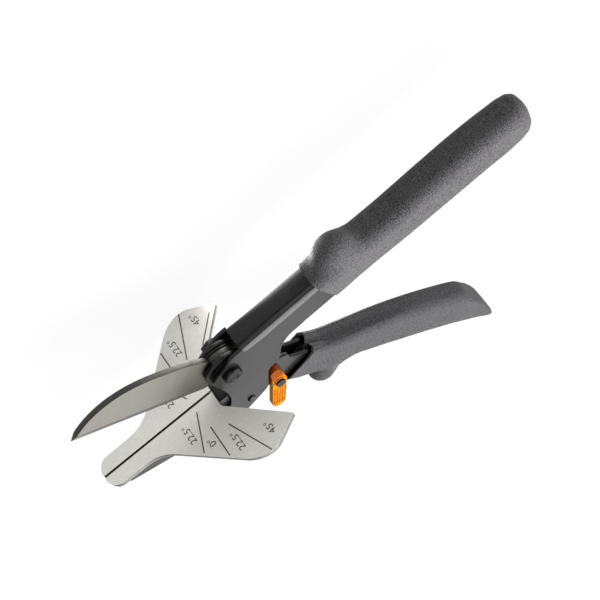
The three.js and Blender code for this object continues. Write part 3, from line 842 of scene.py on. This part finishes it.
LOWER_SHARES = [
    (0, -0.16, 0.12, 1.74, 0.96, 0.5, 0.5, -22.5, 0.34),
    (0.065, -0.24, 0.3, 1.63, 0.97, 0.5, 0.5, -20, 0.3),
    (0.124, -0.3, 0.46, 1.42, 0.98, 0.5, 0.52, -15, 0.26),
    (0.222, -0.36, 0.8, 0.95, 0.98, 0.58, 0.6, -8, 0.19),
    (0.37, -0.15, 0.95, 0.92, 1, 0.66, 0.66, -2, 0.08), (0.517, 0.04, 1, 0.98, 1, 0.68, 0.68, 0, 0),
    (0.694, 0.18, 1, 0.98, 1, 0.68, 0.68, 2, 0), (0.812, 0.2, 1, 0.98, 0.98, 0.68, 0.68, 12, 0),
    (0.9, 0.13, 0.95, 1.06, 0.96, 0.7, 0.68, 34, 0), (0.96, 0.01, 1.1, 1.16, 0.95, 0.72, 0.7, 49, 0),
    (0.977, -0.06, 1.1, 1.04, 0.91, 0.76, 0.76, 50, 0), (0.991, -0.11, 1.02, 0.86, 0.82, 0.82, 0.86, 50, 0),
    (1, -0.14, 0.88, 0.66, 0.66, 0.9, 0.92, 50, 0),
]


# Engraved scale


@dataclass
class Scale:
    """Engraved lines and angle numbers on the anvil's face, and a strip of painted shade in its groove."""

    place: Place
    centre_x: float = -25.0
    proud: float = 0.04
    sunk: float = 0.3
    width: float = 0.6
    digit_height: float = 3.55
    letter_share: float = 1.4
    letter_depth: float = 0.15
    # Extent of the dark strip of painted shade on the groove's floor
    groove_x: Span = (-80.4, -16.5)
    groove_y: Span = (ANVIL_FACE - 1.19, ANVIL_FACE - 1.0)
    groove_z: Span = (-0.55, 0.55)
    # Each line: angle from the far side's zero line, start and end distance from the centre, shift across
    lines: list[tuple[float, float, float, float]] = field(default_factory=lambda: [
        (90.0, 14.2, 31.9, 0.0), (67.5, 4.0, 24.6, 0.0), (112.5, 20.5, 46.2, 0.0),
        (-90.0, 22.4, 32.7, 0.0), (-67.5, 5.2, 13.0, 0.0), (-112.5, 22.6, 46.6, 0.0),
        (-135.0, 28.6, 45.0, 2.0),
    ])
    words: list[tuple[str, float, float]] = field(default_factory=lambda: [
        ("22.5°", -35.3, 10.6), ("0°", -28.4, 20.8), ("22.5°", -17.9, 28.4), ("45°", -2.0, 33.2),
        ("45°", -2.1, -35.3), ("22.5°", -17.8, -30.3), ("22.5°", -34.8, -11.6),
    ])

    def line_points(self, angle: float, start: float, end: float, shift: float) -> np.ndarray:
        """Give the eight corners of one engraved line's inlay.

        Args:
            angle: Angle from the far side's zero line, in degrees.
            start: Distance of its near end from the centre.
            end: Distance of its far end from the centre.
            shift: Shift across the line.

        Returns:
            Array of shape (2, 4, 3) in millimetres, the lower corners first.
        """
        way = math.radians(angle)
        along = np.array([-math.cos(way), 0.0, math.sin(way)])
        across = np.array([along[2], 0.0, -along[0]]) * self.width / 2
        up = np.array([0.0, 1.0, 0.0])
        middle = np.array([self.centre_x, ANVIL_FACE, 0.0]) + across / self.width * 2 * shift
        corners = [
            middle + along * reach + across * side + up * height
            for height in (-self.sunk, self.proud)
            for reach, side in ((start, -1), (end, -1), (end, 1), (start, 1))
        ]
        return np.array(corners).reshape(2, 4, 3)

    def groove_floor(self, material: bpy.types.Material) -> bpy.types.Object:
        """Lay a dark strip of painted shade on the floor of the anvil's groove, under the reach of the
        blade's edge.

        Args:
            material: Finish of the strip.

        Returns:
            The piece.
        """
        x, y, z = np.meshgrid(self.groove_x, self.groove_y, self.groove_z, indexing="ij")
        box = np.stack([x, y, z], axis=-1)
        rings = np.stack([box[:, 0, 0], box[:, 1, 0], box[:, 1, 1], box[:, 0, 1]], axis=1)
        return add_object("groove_floor", grid_mesh(self.place.metres(rings)), material, smooth=False)

    def build(self, material: bpy.types.Material) -> list[bpy.types.Object]:
        """Build the painted shade in the groove, the lines and the numbers.

        Args:
            material: Finish of the marks and of the painted groove shade.

        Returns:
            The pieces.
        """
        made = [self.groove_floor(material)]
        for k, line in enumerate(self.lines):
            mesh = grid_mesh(self.place.metres(self.line_points(*line)))
            made.append(add_object(f"scale_line_{k + 1}", mesh, material, smooth=False))
        for k, (word, x, z) in enumerate(self.words):
            curve = bpy.data.curves.new(f"number_{k + 1}", "FONT")
            curve.body = word
            curve.align_x = "CENTER"
            curve.align_y = "CENTER"
            curve.size = self.digit_height * self.letter_share
            curve.extrude = self.letter_depth
            holder = bpy.data.objects.new(f"number_{k + 1}", curve)
            bpy.context.scene.collection.objects.link(holder)
            mesh = bpy.data.meshes.new_from_object(holder)
            bpy.data.objects.remove(holder)
            up, right = Vector((-1.0, 0.0, 0.0)), Vector((0.0, 0.0, -1.0))
            turn = Matrix((right, up, right.cross(up))).transposed().to_4x4()
            base = Matrix.Translation((x, ANVIL_FACE + self.proud - self.letter_depth, z))
            mesh.transform(self.place.matrix() @ base @ turn)
            made.append(add_object(f"scale_number_{k + 1}", mesh, material, smooth=False))
        for piece in made:
            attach(piece, Body.ANVIL_LEVER.value)
        return made


# Fasteners


@dataclass
class Fastener:
    """A round part turned about a line along Z."""

    name: str
    node: str
    body: Body
    slot: Slot
    x: float
    y: float
    profile: list[Span]
    rounding: float = 0.25

    def build(self, place: Place, material: bpy.types.Material) -> bpy.types.Object:
        """Build the part from its rounded profile.

        Args:
            place: Frame of the part's axis.
            material: Finish of the part.

        Returns:
            The piece.
        """
        mesh = turned_mesh(rounded_profile(self.profile, self.rounding), place, self.x, self.y)
        made = add_object(self.name, mesh, material)
        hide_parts(self.node)
        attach(made, self.body.value)
        return made


# Studio


@dataclass(frozen=True)
class Lamp:
    """A soft square lamp that looks at the tool: place and side in metres, strength in watts."""

    name: str
    at: tuple[float, float, float]
    size: float
    power: float

    def hang(self) -> None:
        """Put the lamp in the scene, turned to the middle of the tool."""
        data = bpy.data.lights.new(self.name, "AREA")
        data.energy = self.power
        data.size = self.size
        made = bpy.data.objects.new(self.name, data)
        made.location = self.at
        made.rotation_euler = (-Vector(self.at)).to_track_quat("-Z", "Y").to_euler()
        bpy.context.scene.collection.objects.link(made)


LAMPS = (
    Lamp("overhead", (0.05, -0.3, 1.1), 1.1, 36.0),
    Lamp("back", (-0.2, -2.32, 1.18), 2.6, 27.0),
    Lamp("right", (1.6, -0.05, 0.75), 1.6, 46.0),
    Lamp("front", (-0.2, 1.2, 0.9), 1.0, 5.5),
)


@dataclass
class Studio:
    """Camera, lamps, floor and backdrop."""

    place: Place
    eye: tuple[float, float, float] = (117.16, 737.53, 379.30)
    right: tuple[float, float, float] = (0.7736, -0.3476, 0.5298)
    up: tuple[float, float, float] = (0.6277, 0.3066, -0.7155)
    back: tuple[float, float, float] = (0.0863, 0.8861, 0.4554)
    lens: float = 109.16
    sensor: float = 36.0
    nearest: float = 0.01
    # Shares of the floor that glow for the camera and in mirrors, and its plain glow
    camera_glow: float = 0.82
    mirror_glow: float = 0.95
    glow: float = 1.12
    floor_grain: float = 20.0
    floor_tones: tuple[Color, Color] = ((0.2, 0.2, 0.2), (0.23, 0.23, 0.23))
    # The brighter strip that only mirrors see: its fall along Y, its glow at both ends, its edges along X
    strip_y: Span = (0.075, 0.13)
    strip_glow: Span = (12.0, -0.6)
    strip_left: Span = (-0.045, -0.028)
    strip_right: Span = (0.004, 0.022)
    # Half the floor's side, its depth under the tool and its squares each way
    floor_half: float = 3.0
    floor_drop: float = 0.0002
    squares: int = 8
    room_glow: float = 0.14

    def camera(self) -> None:
        """Set the camera where the photograph was taken from."""
        data = bpy.data.cameras.new("camera")
        data.lens = self.lens
        data.sensor_width = self.sensor
        data.sensor_height = self.sensor
        data.sensor_fit = "HORIZONTAL"
        data.clip_start = self.nearest
        made = bpy.data.objects.new("camera", data)
        axes = Matrix((self.right, self.up, self.back)).transposed().to_4x4()
        eye = Vector(self.eye) * MM + Vector(self.place.origin)
        made.matrix_world = Matrix.Translation(eye) @ axes
        bpy.context.scene.collection.objects.link(made)
        bpy.context.scene.camera = made

    def strip(self, shader: Shader) -> bpy.types.NodeSocket:
        """Give the strip's extra glow: its fall along Y times the lesser of its two edges along X.

        Args:
            shader: The floor's material.

        Returns:
            The value socket.
        """
        split = shader.node("SeparateXYZ", {"0": shader.coords.outputs["Object"]})
        behind = shader.spread(split.outputs["Y"], *self.strip_y, *self.strip_glow)
        beside = shader.maths("MINIMUM", shader.spread(split.outputs["X"], *self.strip_left),
                              shader.spread(split.outputs["X"], *self.strip_right, 1.0, 0.0))
        return shader.maths("MULTIPLY", behind, beside)

    def floor(self) -> None:
        """Lay a pale floor that shows white to the camera and keeps a soft shadow."""
        shader = Shader("pale_floor")
        path = shader.node("LightPath")
        camera_share = shader.maths("MULTIPLY", path.outputs["Is Camera Ray"], self.camera_glow)
        mirror_share = shader.maths("MULTIPLY", path.outputs["Is Glossy Ray"], self.mirror_glow)
        grain = shader.noise(shader.mapped(), self.floor_grain, BROAD_DETAIL)
        matte = shader.node("BsdfDiffuse", {"Color": shader.mix(grain, *self.floor_tones)})
        extra = shader.maths("MULTIPLY", self.strip(shader), path.outputs["Is Glossy Ray"])
        strength = shader.maths("ADD", self.glow, extra)
        glow = shader.node("Emission", {"Color": (1.0, 1.0, 1.0, 1.0), "Strength": strength})
        share = shader.maths("MAXIMUM", camera_share, mirror_share)
        both = shader.node("MixShader", {"0": share, "1": matte.outputs[0], "2": glow.outputs[0]})
        shader.tree.links.new(both.outputs[0], shader.out.inputs["Surface"])
        row = self.squares + 1
        steps = np.linspace(-self.floor_half, self.floor_half, row)
        x, y = np.meshgrid(steps, steps, indexing="ij")
        verts = np.stack([x, y, np.full_like(x, -self.floor_drop)], axis=-1).reshape(-1, 3)
        k = np.arange(self.squares ** 2)
        a = k // self.squares * row + k % self.squares
        mesh = bpy.data.meshes.new("floor")
        mesh.from_pydata(verts.tolist(), [], np.stack([a, a + row, a + row + 1, a + 1], axis=1).tolist())
        add_object("floor", mesh, shader.material, smooth=False)

    def world(self) -> None:
        """Light the room evenly and show white behind the tool."""
        world = bpy.data.worlds.new("room")
        world.use_nodes = True
        tree = world.node_tree
        shade = tree.nodes["Background"]
        path = tree.nodes.new("ShaderNodeLightPath")
        seen = tree.nodes.new("ShaderNodeMath")
        seen.operation = "MAXIMUM"
        tree.links.new(path.outputs["Is Camera Ray"], seen.inputs[0])
        tree.links.new(path.outputs["Is Transmission Ray"], seen.inputs[1])
        level = tree.nodes.new("ShaderNodeMapRange")
        level.inputs["To Min"].default_value = self.room_glow
        level.inputs["To Max"].default_value = 1.0
        tree.links.new(seen.outputs[0], level.inputs["Value"])
        tree.links.new(level.outputs[0], shade.inputs["Strength"])
        shade.inputs["Color"].default_value = (1.0, 1.0, 1.0, 1.0)
        bpy.context.scene.world = world

    def build(self) -> None:
        """Set up everything that isn't the tool."""
        self.camera()
        self.floor()
        self.world()
        for lamp in LAMPS:
            lamp.hang()
        bpy.context.scene.view_settings.view_transform = "Standard"


# Sub-assemblies


@dataclass
class Finishes:
    """All finishes, built once."""

    enamel: bpy.types.Material = field(default_factory=lambda: Enamel().build())
    vinyl: bpy.types.Material = field(default_factory=lambda: PebbleVinyl().build())
    # A darker vinyl for the lower grip; its second colour is the painted shade in the grain's gaps
    dark_vinyl: bpy.types.Material = field(default_factory=lambda: PebbleVinyl(
        "dark_pebble_vinyl", (0.078, 0.076, 0.079), (0.026, 0.025, 0.027),
    ).build())
    anvil: bpy.types.Material = field(default_factory=lambda: Brushed(
        "anvil_brushed", (0.83, 0.815, 0.765), (0.7, 0.686, 0.642), 0.5,
        stretch=(300.0, 2500.0, 2500.0), metallic=0.6,
    ).build())
    anvil_edge: bpy.types.Material = field(default_factory=lambda: Brushed(
        "anvil_edge", (0.2, 0.196, 0.185), (0.15, 0.147, 0.14), 0.45,
    ).build())
    anvil_back: bpy.types.Material = field(default_factory=lambda: Brushed(
        "anvil_back", (0.42, 0.412, 0.39), (0.36, 0.352, 0.332), 0.5, stretch=(300.0, 2500.0, 2500.0),
    ).build())
    blade: bpy.types.Material = field(default_factory=lambda: Brushed(
        "blade_ground", (0.145, 0.14, 0.127), (0.128, 0.123, 0.111), 0.42,
        turn=-OPEN_ANGLE, stretch=(1600.0, 40.0, 40.0),
    ).build())
    spine: bpy.types.Material = field(default_factory=lambda: Brushed(
        "blade_spine", (0.07, 0.068, 0.062), (0.05, 0.048, 0.044), 0.42,
    ).build())
    dark: bpy.types.Material = field(default_factory=lambda: Brushed(
        "black_oxide", (0.034, 0.033, 0.033), (0.018, 0.018, 0.018), 0.36,
    ).build())
    zinc: bpy.types.Material = field(default_factory=lambda: Brushed(
        "zinc_plate", (0.6, 0.6, 0.61), (0.45, 0.45, 0.46), 0.3,
    ).build())
    orange: bpy.types.Material = field(default_factory=lambda: Plastic().build())
    # Dark steel of the engraved marks, also laid as painted shade on the groove's floor
    ink: bpy.types.Material = field(default_factory=lambda: Brushed(
        "engraving_and_groove_shade", (0.06, 0.058, 0.055), (0.03, 0.03, 0.03), 0.6,
        stretch=(900.0, 900.0, 900.0), metallic=0.3,
    ).build())


@dataclass
class AnvilLever:
    """Upper handle with its grip, the jaw, the mitre anvil and the pivot."""

    place: Place
    finishes: Finishes
    channel_bevel: float = 0.0005
    anvil_bevel: float = 0.0003
    # Pivot bolt: end of its shank, radii of shank and head, height of the flank, then the hollow in its top
    bolt_end: float = -11.3
    bolt_shank: float = 3.9
    bolt_head: float = 4.8
    bolt_flank: float = 1.75
    bolt_crown: Span = (4.05, 2.5)
    bolt_lip: float = 2.3
    bolt_hollow: Span = (2.0, 2.2)
    # Stop rivet: place, height of its far head, radii of shank and heads, then its low dome
    stop_x: float = -4.2
    stop_y: float = -33.3
    stop_foot: float = 1.2
    stop_shank: float = 1.8
    stop_head: float = 2.1
    stop_shoulder: Span = (1.9, 0.8)
    stop_crown: Span = (1.0, 1.2)

    def build(self) -> list[bpy.types.Object]:
        """Build and dress every piece that rides on the anvil lever.

        Returns:
            The pieces.
        """
        made = [
            self.dressed("upper_handle", "upper_handle_shell", self.finishes.enamel,
                         self.channel_bevel),
            self.dressed("anvil_plate", "mitre_anvil", self.finishes.anvil,
                         self.anvil_bevel),
        ]
        paint_sides(made[1].data, self.finishes.anvil_edge, Axis.Y, self.finishes.anvil_back)
        made += Scale(self.place).build(self.finishes.ink)
        made.append(self.grip())
        for fastener in (self.bolt(), self.stop()):
            made.append(fastener.build(self.place, self.finishes.dark))
        return made

    def bolt(self) -> Fastener:
        """Outline the pivot bolt from its shank's end to the hollow in its head.

        Returns:
            The bolt, ready to be built.
        """
        top = HALF_SHEET
        crown, crown_rise = self.bolt_crown
        hollow, hollow_rise = self.bolt_hollow
        return Fastener("pivot_head", "pivot_bolt", Body.ANVIL_LEVER, Slot.DARK_STEEL, 0.0, 0.0, [
            (0.0, self.bolt_end), (self.bolt_shank, self.bolt_end), (self.bolt_shank, top),
            (self.bolt_head, top), (self.bolt_head, top + self.bolt_flank), (crown, top + crown_rise),
            (self.bolt_lip, top + crown_rise), (hollow, top + hollow_rise), (0.0, top + hollow_rise),
        ])

    def stop(self) -> Fastener:
        """Outline the stop rivet from its far head to the dome of its near one.

        Returns:
            The rivet, ready to be built.
        """
        top = HALF_SHEET
        foot = -top - self.stop_foot
        shoulder, shoulder_rise = self.stop_shoulder
        crown, crown_rise = self.stop_crown
        profile = [
            (0.0, foot), (self.stop_head, foot), (self.stop_head, -top), (self.stop_shank, -top),
            (self.stop_shank, top), (self.stop_head, top), (shoulder, top + shoulder_rise),
            (crown, top + crown_rise), (0.0, top + crown_rise),
        ]
        body, slot = Body.ANVIL_LEVER, Slot.DARK_STEEL
        return Fastener("stop_rivet", "stop_pin", body, slot, self.stop_x, self.stop_y, profile)

    def dressed(self, node: str, name: str, material: bpy.types.Material,
                bevel: float) -> bpy.types.Object:
        """Copy a node with rounded edges and let it ride on this lever.

        Args:
            node: Name of the node.
            name: Name of the new piece.
            material: Its finish.
            bevel: Width of the rounded edges in metres.

        Returns:
            The new piece.
        """
        made = crisp_copy(node, name, material, bevel)
        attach(made, Body.ANVIL_LEVER.value)
        return made

    def grip(self) -> bpy.types.Object:
        """Build the long upper grip."""
        return Grip(
            "upper_grip_sleeve", "upper_grip", Body.ANVIL_LEVER, self.place,
            front=58.0, end=179.3, half=9.4, deep=11.8, rise=1.2, tilt=CHANNEL_TILT, table=UPPER_SHARES,
            balls=[Ball(x=72.8, y=10.9, long=11.2, high=11.2, wide=9.4)], blend=5.0,
        ).build(self.finishes.vinyl)


@dataclass
class BladeLever:
    """Lower handle with its grip, and the blade."""

    place: Place
    finishes: Finishes
    channel_bevel: float = 0.0004
    blade_bevel: float = 0.00012

    def build(self) -> list[bpy.types.Object]:
        """Build and dress every piece that rides on the blade lever.

        Returns:
            The pieces.
        """
        made = []
        enamel, steel = self.finishes.enamel, self.finishes.blade
        for node, name, material, slot, bevel in (
            ("lower_handle", "lower_handle_shell", enamel, Slot.BLACK_PAINT, self.channel_bevel),
            ("blade", "cutting_blade", steel, Slot.BLADE_STEEL, self.blade_bevel),
        ):
            piece = crisp_copy(node, name, material, bevel)
            if node == "blade":
                paint_sides(piece.data, self.finishes.spine, Axis.Z)
            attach(piece, Body.BLADE_LEVER.value)
            made.append(piece)
        made.append(self.grip())
        return made

    def grip(self) -> bpy.types.Object:
        """Build the shorter lower grip, whose finger bump is two balls, one above the other.

        Returns:
            The piece.
        """
        outer = Ball(x=71.3, y=-25.2, long=7.2, high=7.2, wide=6.7)
        inner = Ball(x=71.0, y=-14.5, long=11.0, high=9.0, wide=6.7)
        return Grip(
            "lower_grip_sleeve", "lower_grip", Body.BLADE_LEVER, self.place,
            front=49.4, end=170.5, half=7.3, deep=11.6, rise=0.0, tilt=-12.5, table=LOWER_SHARES,
            balls=[outer, inner], blend=5.0,
        ).build(self.finishes.dark_vinyl)


@dataclass
class Latch:
    """The orange safety latch."""

    finishes: Finishes
    bevel: float = 0.0004
    # The collar's two walls and how far its foot sinks in; then its rim, narrower by an edge on each side
    collar_inner: float = 2.8
    collar_outer: float = 3.4
    collar_sunk: float = 0.2
    collar_wall: float = 0.35
    collar_rim: float = 0.6
    collar_edge: float = 0.2

    def build(self) -> list[bpy.types.Object]:
        """Build and dress the latch.

        Returns:
            The pieces.
        """
        made = crisp_copy("latch_lever", "latch_thumb_piece", self.finishes.orange, self.bevel)
        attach(made, Body.LATCH.value)
        return [made, self.collar()]

    def collar(self) -> bpy.types.Object:
        """Build the low rim that stands round the pin on the latch's outer face.

        Returns:
            The piece.
        """
        low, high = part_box("latch_pin")
        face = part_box("latch_lever")[1][2]
        place = Place(((low[0] + high[0]) / 2, (low[1] + high[1]) / 2, face))
        inner, outer, edge = self.collar_inner, self.collar_outer, self.collar_edge
        mesh = turned_mesh([
            (inner, -self.collar_sunk), (outer, -self.collar_sunk), (outer, self.collar_wall),
            (outer - edge, self.collar_rim), (inner + edge, self.collar_rim), (inner, self.collar_wall),
        ], place)
        made = add_object("latch_pin_collar", mesh, self.finishes.orange)
        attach(made, Body.LATCH.value)
        return made


@dataclass
class ReturnSpring:
    """The coil spring between the levers."""

    finishes: Finishes
    upper: Place
    lower: Place
    head: Span = (19.1, 6.75)
    foot: Span = (18.5, -5.2)
    stand: float = 0.85
    lean: float = 0.83
    radius: float = 2.45
    wire: float = 0.5
    curls: int = 8
    steps: int = 26
    sides: int = 10

    def build(self) -> list[bpy.types.Object]:
        """Wind the wire: a ring is swept along a helix of even radius and steady pitch.

        Returns:
            The coil, alone in a list.
        """
        top = self.upper.metres(np.array([*self.head, 0.0])) / MM
        bottom = self.lower.metres(np.array([*self.foot, 0.0])) / MM
        along = (top - bottom) / np.linalg.norm(top - bottom)
        first, last = bottom + along * (self.stand + self.lean), top - along * self.stand
        side = np.array([0.0, 0.0, 1.0])
        front = np.cross(along, side)
        t = np.linspace(0.0, 1.0, self.curls * self.steps + 1)[:, None]
        turn = 2 * np.pi * self.curls * t
        out = front * np.cos(turn) + side * np.sin(turn)
        middle = first + (last - first) * t + self.radius * out
        ring = np.linspace(0.0, 2 * np.pi, self.sides, endpoint=False)[None, :, None]
        points = middle[:, None, :] + self.wire * (out[:, None, :] * np.cos(ring) + along * np.sin(ring))
        made = add_object("return_coil", grid_mesh(points * MM), self.finishes.zinc)
        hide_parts("return_spring")
        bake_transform(made)
        return [made]


NODE_FINISHES: dict[str, str] = {
    "upper_handle": "enamel", "anvil_support": "enamel", "lower_handle": "enamel", "upper_grip": "vinyl",
    "lower_grip": "dark_vinyl", "anvil_plate": "anvil", "blade": "blade", "latch_lever": "orange",
    "pivot_sleeve": "zinc", "return_spring": "zinc", "latch_pin_clip": "zinc",
}


def dress_nodes(frame: dict, finishes: Finishes) -> None:
    """Give every node of the frame its finish.

    Args:
        finishes: The built finishes.
    """
    for node in frame["nodes"]:
        target = bpy.data.objects.get(node)
        if target is None or target.type != "MESH":
            continue
        material = getattr(finishes, NODE_FINISHES.get(node, "dark"))
        if not target.material_slots:
            target.data.materials.append(material)
        for slot in target.material_slots:
            slot.material = material


def main() -> None:
    """Build the dressed shears in order."""
    logging.basicConfig(level=logging.INFO, format="%(message)s")
    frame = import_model()
    place = pivot_place()
    Studio(place).build()
    finishes = Finishes()
    dress_nodes(frame, finishes)
    builders: list[Callable[[], list[bpy.types.Object]]] = [
        AnvilLever(place, finishes).build,
        BladeLever(pivot_place(OPEN_ANGLE), finishes).build,
        Latch(finishes).build,
        ReturnSpring(finishes, pivot_place(math.radians(CHANNEL_TILT)), pivot_place(OPEN_ANGLE)).build,
    ]
    for build in builders:
        for piece in build():
            LOG.info("built %s with %d faces", piece.name, len(piece.data.polygons))


if __name__ == "__main__":
    main()
